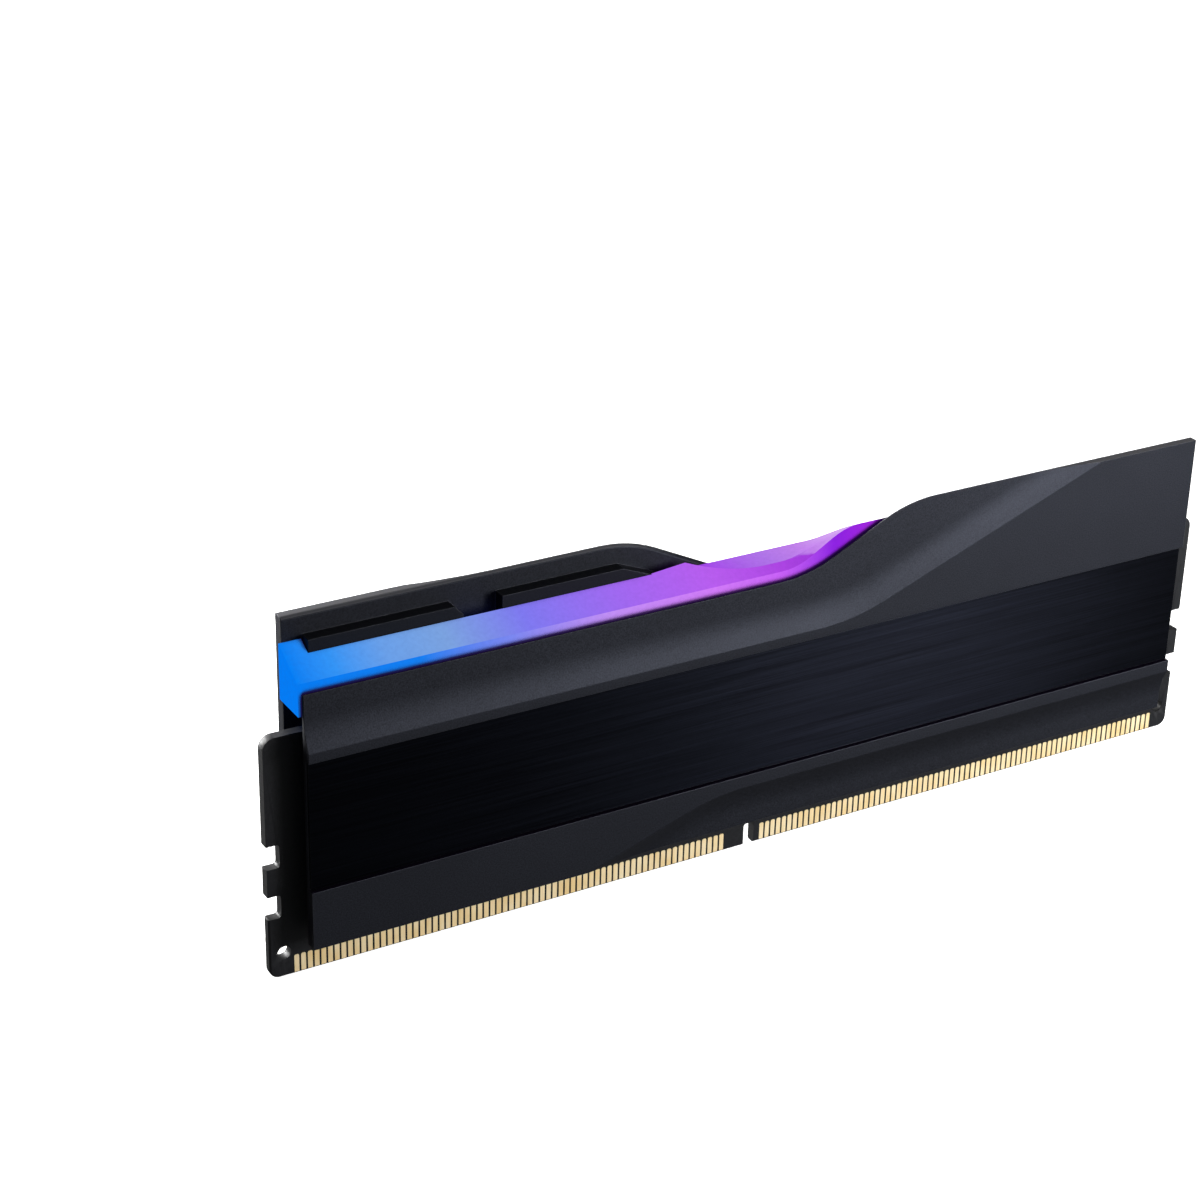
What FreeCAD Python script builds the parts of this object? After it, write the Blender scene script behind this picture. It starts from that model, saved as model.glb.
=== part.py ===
import FreeCAD, Part
import math
import os
import re

import Sketcher
from FreeCAD import Placement, Rotation, Vector

# Desktop memory module: a circuit board with edge contacts, memory chips and their power
# parts, clamped between two identical aluminium heat spreader halves, with a translucent
# light bar standing on the board's top edge.
#
# Frame, in millimetres: X along the module, Y across its thickness with the front half on
# the -Y side, Z up. The origin is the middle of the board's bottom edge, which is the
# edge that the socket takes. The back half is the front half turned half a turn about Z.

DIMENSIONS = {
    # circuit board
    "BoardLength": 133.35,
    "BoardHeight": 31.25,
    "BoardThickness": 1.27,
    "BoardFootRadius": 1.3,
    "BoardEarRadius": 1.5,
    "BoardBevel": 0.2,
    "KeyLeft": -2.22,
    "KeyWidth": 1.5,
    "KeyHeight": 3.0,
    "KeyRadius": 0.35,
    "NotchDepth": 1.65,
    "NotchHeight": 3.0,
    "LowerNotchBottom": 8.0,
    "UpperNotchBottom": 14.6,
    "NotchRadius": 0.4,
    "HoleRadius": 0.85,
    "HoleInset": 1.85,
    "HoleHeight": 3.2,
    # edge contacts
    "ContactPitch": 0.85,
    "ContactWidth": 0.6,
    "ContactBottom": 0.25,
    "ContactTop": 2.55,
    "ContactThickness": 0.04,
    "ContactRadius": 0.2,
    "LeftContactStart": -63.325,
    "RightContactStart": 0.425,
    "LeftContactCount": 69,
    "RightContactCount": 75,
    # chips and small parts on the board
    "MemoryChipWidth": 10.0,
    "MemoryChipHeight": 11.0,
    "MemoryChipThickness": 1.1,
    "MemoryChipPitch": 12.6,
    "FirstMemoryChip": 14.6,
    "MemoryChipMiddle": 17.0,
    "ChipBevel": 0.15,
    "PinMarkInset": 0.6,
    "PinMarkRadius": 0.25,
    "PinMarkDepth": 0.05,
    "PowerChipWidth": 5.0,
    "PowerChipThickness": 0.85,
    "PowerChipMiddle": 21.0,
    "HubWidth": 3.0,
    "HubHeight": 2.0,
    "HubOffset": 4.2,
    "HubMiddle": 11.5,
    "ControllerWidth": 4.0,
    "SmallChipThickness": 0.8,
    "CoilWidth": 3.2,
    "CoilThickness": 1.2,
    "CoilPitch": 4.6,
    "CoilMiddle": 26.8,
    "BulkLength": 3.2,
    "BulkHeight": 1.6,
    "BulkThickness": 1.3,
    "BulkPitch": 4.2,
    "BulkMiddle": 16.0,
    "SmallPartGap": 1.5,
    "CapacitorLength": 1.6,
    "CapacitorHeight": 0.8,
    "CapacitorPitch": 3.2,
    "ResistorWidth": 0.5,
    "ResistorHeight": 1.0,
    "ResistorThickness": 0.35,
    "ResistorPitch": 2.2,
    # thermal pads
    "ThermalPadStart": 9.4,
    "ThermalPadEnd": 57.6,
    "ThermalPadBottom": 9.5,
    "ThermalPadTop": 24.5,
    "PowerPadWidth": 5.6,
    # colour lights
    "LightWidth": 1.6,
    "LightHeight": 1.5,
    "LightThickness": 0.7,
    "LightPitch": 15.4,
    "LightCount": 8,
    "LightBottom": 29.3,
    # heat spreader half
    "SpreaderLength": 125.3,
    "SpreaderBottom": 4.7,
    "OuterFace": 4.0,
    "InnerFace": 2.5,
    "LowTop": 37.0,
    "HighTop": 44.0,
    "RampStart": -0.3,
    "RampEnd": 22.1,
    "RampRadius": 17.4,
    "TopBevel": 0.35,
    "BandBottom": 12.3,
    "BandTop": 28.8,
    "BandDepth": 0.8,
    "StripThickness": 0.3,
    "StripGap": 0.1,
    "CoveDepth": 1.0,
    "CoveHeight": 4.0,
    "CoveReach": 14.0,
    "CoveClearance": 2.0,
    "CoveOverrun": 4.0,
    "CreaseRadius": 26.0,
    "UpperCrease": 30.1,
    "UpperBend": 10.0,
    "UpperSlope": 20.5,
    "LowerCrease": 10.6,
    "LowerBend": -8.8,
    "LowerSlope": 18.5,
    "RibFace": 0.8,
    "RibBottom": 37.0,
    "RibTop": 41.5,
    "RibBevel": 1.1,
    "OuterRibStart": 41.0,
    "OuterRibEnd": 60.2,
    "InnerRibTip": 9.0,
    "InnerRibStart": 20.0,
    "InnerRibEnd": 36.0,
    # light bar
    "BarLength": 126.1,
    "BarHalfWidth": 2.45,
    "BarBottom": 34.1,
    "BarLow": 38.15,
    "BarHigh": 41.0,
    "CreaseInset": 1.2,
    "LipTop": 42.2,
    "LipRampStart": 0.2,
    "LipRampEnd": 11.4,
    "LipRampRadius": 8.0,
    "CreaseRampLag": 0.5,
    "RearTop": 39.5,
    "RearRampStart": 7.0,
    "RearRampEnd": 13.5,
    "RearRampRadius": 12.0,
    "WedgeTip": -2.0,
    "WedgeEnd": -11.3,
    "WedgeReach": 1.2,
    "WedgeRadius": 22.0,
    "RoomStart": 17.5,
    "ChannelHalfWidth": 1.5,
    "ChannelTop": 36.2,
    "ChannelLength": 120.0,
    "FootHalfWidth": 2.0,
    "FootBottom": 30.2,
    "FootLength": 2.6,
    "FootPitch": 30.8,
    "FootCount": 4,
    "PocketPlay": 0.1,
}

# Two places nearer than this count as the same, in millimetres.
TOUCH = 1e-4

doc = FreeCAD.newDocument("memory_module")
sheet = doc.addObject("Spreadsheet::Sheet", "Size")
for row, (alias, value) in enumerate(DIMENSIONS.items(), start=1):
    sheet.set(f"A{row}", alias)
    sheet.set(f"B{row}", str(value))
    sheet.setAlias(f"B{row}", alias)
doc.recompute()

sub_parts = []


# ---------------------------------------------------------------- helpers

def bound(text):
    """Turn 'BoardLength / 2' into an expression that reads the sheet's cells."""
    return re.sub(r"\b([A-Z]\w*)", r"Size.\1", text)


def value_of(text):
    """The present value of such an expression, in millimetres or degrees."""
    result = sheet.evalExpression(text)
    return float(getattr(result, "Value", result))


def bind(thing, name, text):
    thing.setExpression(name, bound(text))


def new_body(label, allow_groups=False):
    body = doc.addObject("PartDesign::Body", label)
    body.Label = label
    if allow_groups:
        body.AllowCompound = True
    sub_parts.append(body)
    return body


def sketch_on(body, role, name, offset="0"):
    """A sketch on one of the body's own planes, moved along the plane's normal."""
    sketch = body.newObject("Sketcher::SketchObject", name)
    planes = [plane for plane in body.Origin.OriginFeatures if plane.Role == role]
    sketch.AttachmentSupport = [(planes[0], "")]
    sketch.MapMode = "FlatFace"
    bind(sketch, "AttachmentOffset.Base.z", offset)
    doc.recompute()
    return sketch


def pin_point(sketch, geometry, end, place):
    """Hold one end of a line or arc at a place given by two expressions."""
    for kind, text in zip(("DistanceX", "DistanceY"), place):
        constraint = Sketcher.Constraint(kind, -1, 1, geometry, end, value_of(text))
        index = sketch.addConstraint(constraint)
        bind(sketch, f"Constraints[{index}]", text)


def pin_radius(sketch, geometry, text):
    index = sketch.addConstraint(Sketcher.Constraint("Radius", geometry, value_of(text)))
    bind(sketch, f"Constraints[{index}]", text)


def draw_polygon(sketch, corners):
    """A closed outline of straight lines whose corners are pairs of expressions."""
    points = [Vector(value_of(x), value_of(y), 0) for x, y in corners]
    first = sketch.GeometryCount
    for start, end in zip(points, points[1:] + points[:1]):
        sketch.addGeometry(Part.LineSegment(start, end), False)
    count = len(points)
    for index in range(count):
        here = first + index
        following = first + (index + 1) % count
        sketch.addConstraint(Sketcher.Constraint("Coincident", here, 2, following, 1))
    for index, corner in enumerate(corners):
        pin_point(sketch, first + index, 1, corner)


def rectangle(left, bottom, right, top):
    return [(left, bottom), (right, bottom), (right, top), (left, top)]


def draw_circle(sketch, place, radius):
    centre = Vector(value_of(place[0]), value_of(place[1]), 0)
    circle = sketch.addGeometry(Part.Circle(centre, Vector(0, 0, 1), value_of(radius)), False)
    pin_point(sketch, circle, 3, place)
    pin_radius(sketch, circle, radius)


def pad(body, sketch, length, midplane=False, reverse=False):
    feature = body.newObject("PartDesign::Pad", sketch.Name + "_pad")
    feature.Profile = sketch
    bind(feature, "Length", length)
    if midplane:
        feature.Midplane = True
    feature.Reversed = reverse
    doc.recompute()
    return feature


def pocket(body, sketch, length=None, midplane=False, reverse=False):
    """Cut a sketch out of the body, right through when no length is given."""
    before = body.Shape.Volume
    feature = body.newObject("PartDesign::Pocket", sketch.Name + "_pocket")
    feature.Profile = sketch
    if length is None:
        feature.Type = "ThroughAll"
    else:
        bind(feature, "Length", length)
    if midplane:
        feature.Midplane = True
    feature.Reversed = reverse
    doc.recompute()
    if body.Shape.Volume > before - TOUCH:
        raise RuntimeError(f"{feature.Name} removes nothing")
    return feature


def edges_across(feature, places):
    """Names of the straight edges along Y that stand at the given x, z places."""
    found = []
    for number, edge in enumerate(feature.Shape.Edges, start=1):
        first, last = edge.Vertexes[0].Point, edge.Vertexes[-1].Point
        if abs(first.x - last.x) > TOUCH or abs(first.z - last.z) > TOUCH:
            continue
        for x, z in places:
            if abs(first.x - x) < TOUCH and abs(first.z - z) < TOUCH:
                found.append(f"Edge{number}")
    return found


def dress(body, kind, feature, edges, name, amount):
    """Fillet or chamfer the named edges of a feature."""
    if not edges:
        raise RuntimeError(f"{name} has no edges")
    dressing = body.newObject("PartDesign::" + kind, name)
    dressing.Base = (feature, edges)
    bind(dressing, "Radius" if kind == "Fillet" else "Size", amount)
    doc.recompute()
    return dressing


def pattern_along_x(body, feature, count, pitch, name):
    row = body.newObject("PartDesign::LinearPattern", name)
    row.Originals = [feature]
    axes = [axis for axis in body.Origin.OriginFeatures if axis.Role == "X_Axis"]
    row.Direction = (axes[0], [""])
    bind(row, "Length", f"({count} - 1) * {pitch}")
    bind(row, "Occurrences", count)
    body.Tip = row
    doc.recompute()
    return row


# ---------------------------------------------------------------- smooth outlines

def end_near(sketch, geometry, point):
    """Which end of a line or arc, 1 or 2, lies at a point."""
    distances = [sketch.getPoint(geometry, end).distanceToPoint(point) for end in (1, 2)]
    return 1 if distances[0] < distances[1] else 2


def join(sketch, first, second, point, smooth=False):
    kind = "Tangent" if smooth else "Coincident"
    ends = end_near(sketch, first, point), end_near(sketch, second, point)
    sketch.addConstraint(Sketcher.Constraint(kind, first, ends[0], second, ends[1]))


def pin_at(sketch, geometry, place):
    point = Vector(value_of(place[0]), value_of(place[1]), 0)
    pin_point(sketch, geometry, end_near(sketch, geometry, point), place)


def draw_ramp_outline(sketch, half_length, bottom, levels, ramp, radius):
    """A strip whose top edge runs level, then along a smooth S to another level.

    levels are the top's heights at the left and right, ramp the x where the S starts
    and ends, and radius the size of both its arcs. Line by line it always runs along the
    bottom, up the right side, along the top to the left and down.
    """
    left, right = levels
    start, end = ramp
    x0, x1, half = value_of(start), value_of(end), value_of(half_length)
    z0, z1, foot = value_of(left), value_of(right), value_of(bottom)
    bend = value_of(radius)
    rise = abs(z1 - z0)
    up = 1 if z1 > z0 else -1
    slope = math.atan2(rise - 2 * bend, x1 - x0)
    slope += math.asin(2 * bend / math.hypot(x1 - x0, rise - 2 * bend))

    def on_left_arc(angle):
        return Vector(x0 + bend * math.sin(angle), z0 + up * bend * (1 - math.cos(angle)), 0)

    def on_right_arc(angle):
        return Vector(x1 - bend * math.sin(angle), z1 - up * bend * (1 - math.cos(angle)), 0)

    corners = [
        Vector(-half, foot, 0),
        Vector(half, foot, 0),
        Vector(half, z1, 0),
        on_right_arc(0),
        on_right_arc(slope),
        on_left_arc(slope),
        on_left_arc(0),
        Vector(-half, z0, 0),
    ]
    right_arc, left_arc = 3, 5
    for index, corner in enumerate(corners):
        following = corners[(index + 1) % len(corners)]
        piece = Part.LineSegment(corner, following)
        if index == right_arc:
            piece = Part.Arc(corner, on_right_arc(slope / 2), following)
        if index == left_arc:
            piece = Part.Arc(corner, on_left_arc(slope / 2), following)
        sketch.addGeometry(piece, False)
    for index in range(len(corners)):
        previous = (index - 1) % len(corners)
        smooth = {previous, index} & {right_arc, left_arc}
        join(sketch, previous, index, corners[index], smooth=bool(smooth))
    pin_at(sketch, 0, (f"-{half_length}", bottom))
    pin_at(sketch, 1, (half_length, bottom))
    pin_at(sketch, 2, (half_length, right))
    pin_at(sketch, 2, (end, right))
    pin_at(sketch, 6, (start, left))
    pin_at(sketch, 7, (f"-{half_length}", left))
    pin_radius(sketch, right_arc, radius)
    pin_radius(sketch, left_arc, radius)


# ---------------------------------------------------------------- circuit board

def end_outline(sign):
    """Corners of one end of the board, from foot to ear, on the +X or -X side."""
    edge = f"{sign} * BoardLength / 2"
    root = f"{sign} * (BoardLength / 2 - NotchDepth)"
    corners = [(edge, "0")]
    for bottom in ("LowerNotchBottom", "UpperNotchBottom"):
        corners += [
            (edge, bottom),
            (root, bottom),
            (root, f"{bottom} + NotchHeight"),
            (edge, f"{bottom} + NotchHeight"),
        ]
    corners.append((edge, "BoardHeight"))
    return corners


def make_circuit_board():
    body = new_body("circuit_board")
    outline = sketch_on(body, "XZ_Plane", "board_outline")
    key = [
        ("KeyLeft", "0"),
        ("KeyLeft", "KeyHeight"),
        ("KeyLeft + KeyWidth", "KeyHeight"),
        ("KeyLeft + KeyWidth", "0"),
    ]
    draw_polygon(outline, key + end_outline(1) + end_outline(-1)[::-1])
    plate = pad(body, outline, "BoardThickness", midplane=True)

    half = value_of("BoardLength / 2")
    root = value_of("BoardLength / 2 - NotchDepth")
    key_sides = [value_of("KeyLeft"), value_of("KeyLeft + KeyWidth")]
    feet = edges_across(plate, [(side * half, 0) for side in (-1, 1)])
    plate = dress(body, "Fillet", plate, feet, "board_feet", "BoardFootRadius")
    ears = edges_across(plate, [(side * half, value_of("BoardHeight")) for side in (-1, 1)])
    plate = dress(body, "Fillet", plate, ears, "board_ears", "BoardEarRadius")
    roots = []
    for side in (-1, 1):
        for bottom in ("LowerNotchBottom", "UpperNotchBottom"):
            roots.append((side * root, value_of(bottom)))
            roots.append((side * root, value_of(f"{bottom} + NotchHeight")))
    plate = dress(body, "Fillet", plate, edges_across(plate, roots), "notch_roots", "NotchRadius")
    key_roots = [(x, value_of("KeyHeight")) for x in key_sides]
    plate = dress(body, "Fillet", plate, edges_across(plate, key_roots), "key_roots", "KeyRadius")

    holes = sketch_on(body, "XZ_Plane", "tooling_holes")
    for sign in (-1, 1):
        draw_circle(holes, (f"{sign} * (BoardLength / 2 - HoleInset)", "HoleHeight"), "HoleRadius")
    drilled = pocket(body, holes, midplane=True)

    bottom_edges = []
    for number, edge in enumerate(drilled.Shape.Edges, start=1):
        box = edge.BoundBox
        if box.ZMax < TOUCH and box.XLength > value_of("KeyWidth"):
            bottom_edges.append(f"Edge{number}")
    dress(body, "Chamfer", drilled, bottom_edges, "board_bevel", "BoardBevel")


# ---------------------------------------------------------------- edge contacts

def draw_contact_outline(sketch, middle):
    """An upright contact with square feet and rounded top corners."""
    half, radius = value_of("ContactWidth / 2"), value_of("ContactRadius")
    x, foot, top = value_of(middle), value_of("ContactBottom"), value_of("ContactTop")
    inset = radius * (1 - math.cos(math.pi / 4))
    corners = [
        Vector(x - half, foot, 0),
        Vector(x + half, foot, 0),
        Vector(x + half, top - radius, 0),
        Vector(x + half - radius, top, 0),
        Vector(x - half + radius, top, 0),
        Vector(x - half, top - radius, 0),
    ]
    right_arc, left_arc = 2, 4
    for index, corner in enumerate(corners):
        following = corners[(index + 1) % len(corners)]
        piece = Part.LineSegment(corner, following)
        if index == right_arc:
            piece = Part.Arc(corner, Vector(x + half - inset, top - inset, 0), following)
        if index == left_arc:
            piece = Part.Arc(corner, Vector(x - half + inset, top - inset, 0), following)
        sketch.addGeometry(piece, False)
    for index in range(len(corners)):
        previous = (index - 1) % len(corners)
        smooth = {previous, index} & {right_arc, left_arc}
        join(sketch, previous, index, corners[index], smooth=bool(smooth))
    pin_at(sketch, 0, (f"{middle} - ContactWidth / 2", "ContactBottom"))
    pin_at(sketch, 1, (f"{middle} + ContactWidth / 2", "ContactBottom"))
    sketch.addConstraint(Sketcher.Constraint("Vertical", 1))
    sketch.addConstraint(Sketcher.Constraint("Vertical", 5))
    sketch.addConstraint(Sketcher.Constraint("Horizontal", 3))
    height = sketch.addConstraint(Sketcher.Constraint("DistanceY", -1, 1, 3, 1, top))
    bind(sketch, f"Constraints[{height}]", "ContactTop")
    pin_radius(sketch, right_arc, "ContactRadius")
    pin_radius(sketch, left_arc, "ContactRadius")


def make_contacts(label, start, count, side):
    """One row of gold contacts on one face of the board; side is -1 front, +1 back."""
    body = new_body(label, allow_groups=True)
    face = sketch_on(body, "XZ_Plane", label + "_outline", f"{-side} * BoardThickness / 2")
    draw_contact_outline(face, start)
    contact = pad(body, face, "ContactThickness", reverse=side > 0)
    pattern_along_x(body, contact, count, "ContactPitch", label + "_row")


# ---------------------------------------------------------------- parts on the board

def place_package(body, label, place, size):
    """The plain block of a package on the front face of the board.

    place is the middle of the package in x and z, and size its length along x,
    its height along z and its thickness off the board.
    """
    x, z = place
    length, height, thickness = size
    face = sketch_on(body, "XZ_Plane", label + "_outline", "BoardThickness / 2")
    draw_polygon(face, rectangle(
        f"{x} - {length} / 2",
        f"{z} - {height} / 2",
        f"{x} + {length} / 2",
        f"{z} + {height} / 2",
    ))
    return pad(body, face, thickness)


def make_package(label, place, size):
    """A chip package on the front of the board, its rim eased and pin one marked."""
    x, z = place
    length, height, thickness = size
    body = new_body(label)
    block = place_package(body, label, place, size)
    outer = -value_of(f"BoardThickness / 2 + {thickness}")
    rim = []
    for number, edge in enumerate(block.Shape.Edges, start=1):
        box = edge.BoundBox
        if abs(box.YMin - outer) < TOUCH and abs(box.YMax - outer) < TOUCH:
            rim.append(f"Edge{number}")
    dress(body, "Chamfer", block, rim, label + "_rim", "ChipBevel")
    mark = sketch_on(body, "XZ_Plane", label + "_mark", f"BoardThickness / 2 + {thickness}")
    corner = (f"{x} - {length} / 2 + PinMarkInset", f"{z} + {height} / 2 - PinMarkInset")
    draw_circle(mark, corner, "PinMarkRadius")
    pocket(body, mark, "PinMarkDepth")


def memory_chip_middles():
    """The x of each memory chip from left to right: four on each side of the middle."""
    left = [f"-FirstMemoryChip - {step} * MemoryChipPitch" for step in (3, 2, 1, 0)]
    right = [f"FirstMemoryChip + {step} * MemoryChipPitch" for step in (0, 1, 2, 3)]
    return left + right


def make_memory_chips():
    size = ("MemoryChipWidth", "MemoryChipHeight", "MemoryChipThickness")
    for number, middle in enumerate(memory_chip_middles(), start=1):
        make_package(f"memory_chip_{number}", (middle, "MemoryChipMiddle"), size)


def make_group(label, places, size, side=-1):
    """Small identical blocks on one face of the board, kept together as one sub-part."""
    length, height, thickness = size
    blocks = []
    for number, (x, z) in enumerate(places, start=1):
        block = doc.addObject("Part::Box", f"{label}_{number}")
        bind(block, "Length", length)
        bind(block, "Width", thickness)
        bind(block, "Height", height)
        bind(block, "Placement.Base.x", f"{x} - {length} / 2")
        near = "BoardThickness / 2" if side > 0 else f"-BoardThickness / 2 - {thickness}"
        bind(block, "Placement.Base.y", near)
        bind(block, "Placement.Base.z", f"{z} - {height} / 2")
        blocks.append(block)
    group = doc.addObject("Part::Compound", label)
    group.Label = label
    group.Links = blocks
    sub_parts.append(group)


def make_power_and_hub_parts():
    """Power, hub and lighting chips in the middle of the board, with their small parts."""
    make_package(
        "power_management_chip",
        ("0", "PowerChipMiddle"),
        ("PowerChipWidth", "PowerChipWidth", "PowerChipThickness"),
    )
    make_package(
        "serial_hub_chip",
        ("-HubOffset", "HubMiddle"),
        ("HubWidth", "HubHeight", "SmallChipThickness"),
    )
    make_package(
        "lighting_controller_chip",
        ("HubOffset", "HubMiddle"),
        ("ControllerWidth", "ControllerWidth", "SmallChipThickness"),
    )
    coils = [(f"{step} * CoilPitch", "CoilMiddle") for step in (-1, 0, 1)]
    make_group("power_inductors", coils, ("CoilWidth", "CoilWidth", "CoilThickness"))
    bulk = [(f"{step} * BulkPitch", "BulkMiddle") for step in (-1.5, -0.5, 0.5, 1.5)]
    make_group("bulk_capacitors", bulk, ("BulkLength", "BulkHeight", "BulkThickness"))


def make_small_parts():
    """Capacitors above and resistors below each memory chip."""
    above = "MemoryChipMiddle + MemoryChipHeight / 2 + SmallPartGap"
    below = "MemoryChipMiddle - MemoryChipHeight / 2 - SmallPartGap"
    capacitors = []
    resistors = []
    for middle in memory_chip_middles():
        for step in (-1, 0, 1):
            capacitors.append((f"{middle} + {step} * CapacitorPitch", above))
        for step in (-1.5, -0.5, 0.5, 1.5):
            resistors.append((f"{middle} + {step} * ResistorPitch", below))
    capacitor_size = ("CapacitorLength", "CapacitorHeight", "CapacitorHeight")
    resistor_size = ("ResistorWidth", "ResistorHeight", "ResistorThickness")
    make_group("decoupling_capacitors", capacitors, capacitor_size)
    make_group("series_resistors", resistors, resistor_size)


def make_lights():
    """A row of colour lights on each face, just under the light bar."""
    size = ("LightWidth", "LightHeight", "LightThickness")
    places = []
    for step in range(int(value_of("LightCount"))):
        middle = f"({step} - (LightCount - 1) / 2) * LightPitch"
        places.append((middle, "LightBottom + LightHeight / 2"))
    make_group("lights_front", places, size, side=-1)
    make_group("lights_back", places, size, side=1)


def make_thermal_pad(label, near, far, start, end):
    """A soft pad between the board or its chips and the inside of a spreader half."""
    block = doc.addObject("Part::Box", label)
    block.Label = label
    bind(block, "Length", f"{end} - ({start})")
    bind(block, "Width", f"{far} - ({near})")
    bind(block, "Height", "ThermalPadTop - ThermalPadBottom")
    bind(block, "Placement.Base.x", start)
    bind(block, "Placement.Base.y", near)
    bind(block, "Placement.Base.z", "ThermalPadBottom")
    sub_parts.append(block)


def make_thermal_pads():
    chip_face = "-BoardThickness / 2 - MemoryChipThickness"
    power_face = "-BoardThickness / 2 - PowerChipThickness"
    outer = "ThermalPadEnd"
    inner = "ThermalPadStart"
    make_thermal_pad("thermal_pad_front_left", "-InnerFace", chip_face, f"-{outer}", f"-{inner}")
    make_thermal_pad("thermal_pad_front_right", "-InnerFace", chip_face, inner, outer)
    make_thermal_pad("thermal_pad_back", "BoardThickness / 2", "InnerFace", f"-{outer}", outer)
    middle = doc.addObject("Part::Box", "thermal_pad_power")
    middle.Label = "thermal_pad_power"
    bind(middle, "Length", "PowerPadWidth")
    bind(middle, "Width", f"{power_face} + InnerFace")
    bind(middle, "Height", "PowerPadWidth")
    bind(middle, "Placement.Base.x", "-PowerPadWidth / 2")
    bind(middle, "Placement.Base.y", "-InnerFace")
    bind(middle, "Placement.Base.z", "PowerChipMiddle - PowerPadWidth / 2")
    sub_parts.append(middle)


# ---------------------------------------------------------------- heat spreader

def draw_crease(sketch, level, bend, slope, turn):
    """The path of a crease: level to one end, then bending away at a slope.

    turn is +1 for the upper crease, level on the left and climbing to the right, and
    -1 for the lower one, which is the same path turned half a turn.
    """
    reach = value_of("BoardLength / 2 + CoveOverrun")
    z, x = value_of(level), value_of(bend)
    angle = math.radians(value_of(slope))
    radius = value_of("CreaseRadius")
    tangent = radius * math.tan(angle / 2)

    def spot(along, away):
        return Vector(x + turn * along, z + turn * away, 0)

    start = Vector(-turn * reach, z, 0)
    arc_start = spot(-tangent, 0)
    arc_end = spot(tangent * math.cos(angle), tangent * math.sin(angle))
    middle = spot(radius * math.sin(angle / 2) - tangent, radius * (1 - math.cos(angle / 2)))
    run = reach - turn * x
    end = spot(run, run * math.tan(angle))
    sketch.addGeometry(Part.LineSegment(start, arc_start), False)
    sketch.addGeometry(Part.Arc(arc_start, middle, arc_end), False)
    sketch.addGeometry(Part.LineSegment(arc_end, end), False)
    join(sketch, 0, 1, arc_start, smooth=True)
    join(sketch, 1, 2, arc_end, smooth=True)
    sketch.addConstraint(Sketcher.Constraint("Horizontal", 0))
    end_x = f"{turn} * (BoardLength / 2 + CoveOverrun)"
    pin_at(sketch, 0, (f"-{end_x}", level))
    climb = f"({end_x} - ({bend})) * tan({slope} * 1 deg)"
    pin_at(sketch, 2, (end_x, f"{level} + {climb}"))
    pin_radius(sketch, 1, "CreaseRadius")


def draw_cove_profile(sketch, level, turn):
    """The section cut away beside a crease: steep at the crease, fading into the wall."""
    crease = Vector(-value_of("OuterFace"), value_of(level), 0)
    depth, height = value_of("CoveDepth"), value_of("CoveHeight")
    radius = (depth ** 2 + height ** 2) / (2 * depth)
    half_angle = math.asin(height / radius) / 2
    fade = crease + Vector(depth, turn * height, 0)
    centre = fade - Vector(radius, 0, 0)
    middle = centre + Vector(math.cos(half_angle), -turn * math.sin(half_angle), 0) * radius
    clear = "OuterFace + CoveClearance"
    top = f"{level} + {turn} * CoveReach"
    places = [
        ("-OuterFace", level),
        (f"-({clear})", level),
        (f"-({clear})", top),
        ("CoveDepth - OuterFace", top),
        ("CoveDepth - OuterFace", f"{level} + {turn} * CoveHeight"),
    ]
    points = [Vector(value_of(x), value_of(y), 0) for x, y in places]
    for first, second in zip(points, points[1:]):
        sketch.addGeometry(Part.LineSegment(first, second), False)
    sketch.addGeometry(Part.Arc(fade, middle, crease), False)
    for index in (1, 2, 3):
        join(sketch, index - 1, index, points[index])
    join(sketch, 3, 4, fade, smooth=True)
    join(sketch, 4, 0, crease)
    for index, place in enumerate(places[:4]):
        pin_at(sketch, index, place)
    pin_at(sketch, 3, places[4])


def cut_cove(body, label, level, bend, slope, turn):
    before = body.Shape.Volume
    path = sketch_on(body, "XZ_Plane", label + "_crease", "OuterFace")
    draw_crease(path, level, bend, slope, turn)
    start = f"-{turn} * (BoardLength / 2 + CoveOverrun)"
    profile = sketch_on(body, "YZ_Plane", label + "_section", start)
    draw_cove_profile(profile, level, turn)
    doc.recompute()
    cove = body.newObject("PartDesign::SubtractivePipe", label)
    cove.Profile = profile
    cove.Spine = (path, ["Edge1", "Edge2", "Edge3"])
    doc.recompute()
    if body.Shape.Volume > before - TOUCH:
        raise RuntimeError(f"{label} removes nothing")


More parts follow.
